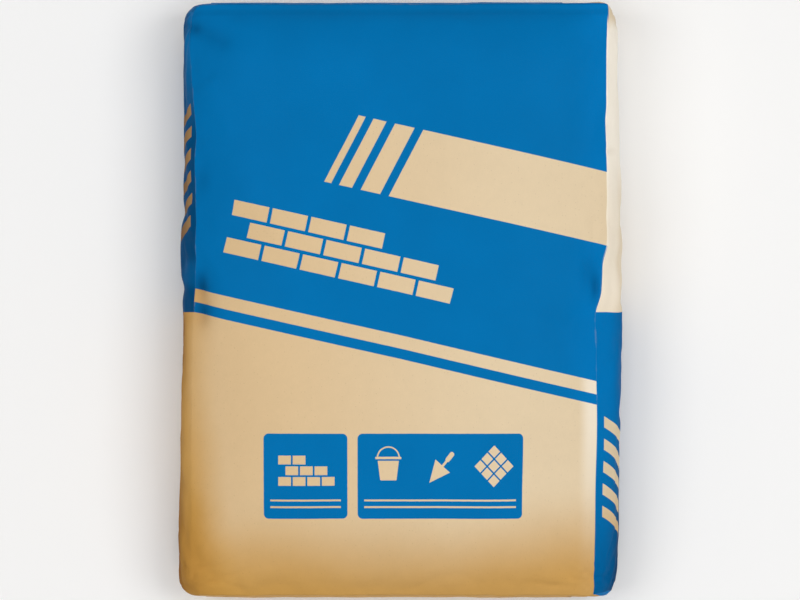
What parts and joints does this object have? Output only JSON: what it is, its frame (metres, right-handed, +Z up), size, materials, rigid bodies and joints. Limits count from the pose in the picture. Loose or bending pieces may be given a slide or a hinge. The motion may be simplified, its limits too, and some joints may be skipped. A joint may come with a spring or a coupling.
{
  "type": "cement bag",
  "caption": "Filled paper cement sack with side gussets, square pasted ends and a closed valve sleeve at one corner, lying flat on its back panel.",
  "frame": {"origin": "on the floor, at the centre of the sack's outline seen from above", "axes": "+X across the front panel to the picture's right, +Y along the sack to the valve end, which is the picture's top, +Z up out of the front panel"},
  "size_m": [0.4024, 0.5402, 0.112],
  "materials": {
    "printed_kraft": "satin",
    "kraft_paper": "matte",
    "cement_powder": "matte"
  },
  "bodies": {
    "root": {"paper_sack": "printed_kraft", "cement_fill": "cement_powder", "valve_sleeve": "kraft_paper", "valve_end_patch": "printed_kraft", "plain_end_patch": "kraft_paper"}
  },
  "joints": []
}
